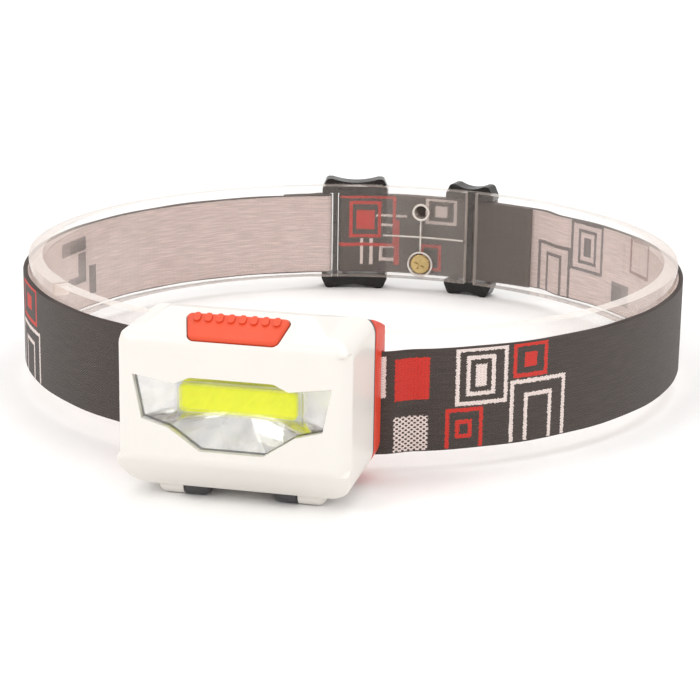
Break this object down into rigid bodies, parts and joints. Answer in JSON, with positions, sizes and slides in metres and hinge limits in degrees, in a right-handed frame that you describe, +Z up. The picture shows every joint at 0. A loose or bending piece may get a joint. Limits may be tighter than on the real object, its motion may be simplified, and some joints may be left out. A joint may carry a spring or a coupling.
{
  "type": "headlamp",
  "caption": "Tilting strip-light headlamp with a ribbed top button, on a folded elastic head strap with sliders, held round by a clear hoop.",
  "frame": {"origin": "centre of the head loop, on its axis, at the middle of the strap's width", "axes": "+Z up along the head loop axis, lamp faces -Y, +X to the right seen from the front"},
  "size_m": [0.1776, 0.2126, 0.0441],
  "materials": {
    "webbing": "woven elastic",
    "thread": "twisted thread",
    "clear_former": "clear moulded",
    "zinc_screw": "yellow zinc plated",
    "slider_black": "polished moulded",
    "orange_plastic": "fine satin",
    "grey_plastic": "fine grain",
    "steel_screw": "bright",
    "steel_pin": "ground",
    "white_plastic": "satin gloss moulded",
    "clear_lens": "clear polished",
    "black_rubber": "soft",
    "mirror_plating": "vacuum plated",
    "board_aluminium": "brushed",
    "phosphor": "soft silicone",
    "carrier_plastic": "plain moulded",
    "cell_sleeve": "printed sleeve",
    "nickel": "nickel plated",
    "board_green": "solder mask",
    "chip_black": "moulded epoxy",
    "orange_rubber": "soft touch",
    "lead_sleeve": "pvc"
  },
  "bodies": {
    "headband": {"strap_webbing": "webbing", "strap_stitching": "thread", "former_hoop": "clear_former", "former_screw": "zinc_screw", "slider_fixed": "slider_black", "rear_bracket": "orange_plastic", "tilt_plate": "grey_plastic", "plate_screws": "steel_screw", "hinge_pins": "steel_pin"},
    "size_slider": {"slider_adjuster": "slider_black"},
    "lamp": {"front_shell": "white_plastic", "window_lens": "clear_lens", "window_seal": "black_rubber", "reflector": "mirror_plating", "cob_board": "board_aluminium", "cob_phosphor": "phosphor", "cell_carrier": "carrier_plastic", "cell_1": "cell_sleeve", "cell_2": "cell_sleeve", "cell_3": "cell_sleeve", "cell_springs": "nickel", "cell_contacts": "nickel", "battery_door": "grey_plastic", "carrier_screws": "steel_screw", "control_board": "board_green", "driver_chips": "chip_black", "tact_switch": "chip_black", "led_leads": "lead_sleeve"},
    "button": {"power_button": "orange_rubber", "switch_plunger": "chip_black"}
  },
  "joints": [
    {"name": "lamp_tilt", "type": "hinge", "parent": "headband", "child": "lamp", "pos_m": [0, -0.1092, -0.015], "axis": [1, 0, 0], "range_deg": [0, 60]},
    {"name": "slider_adjust", "type": "hinge", "parent": "headband", "child": "size_slider", "pos_m": [0, 0, 0], "axis": [0, 0, -1], "range_deg": [-9, 7]},
    {"name": "button_press", "type": "slide", "parent": "lamp", "child": "button", "axis": [0, 0.5502, -0.8351], "range_m": [0, 0.0005], "stiffness_N_per_m": 1500}
  ]
}
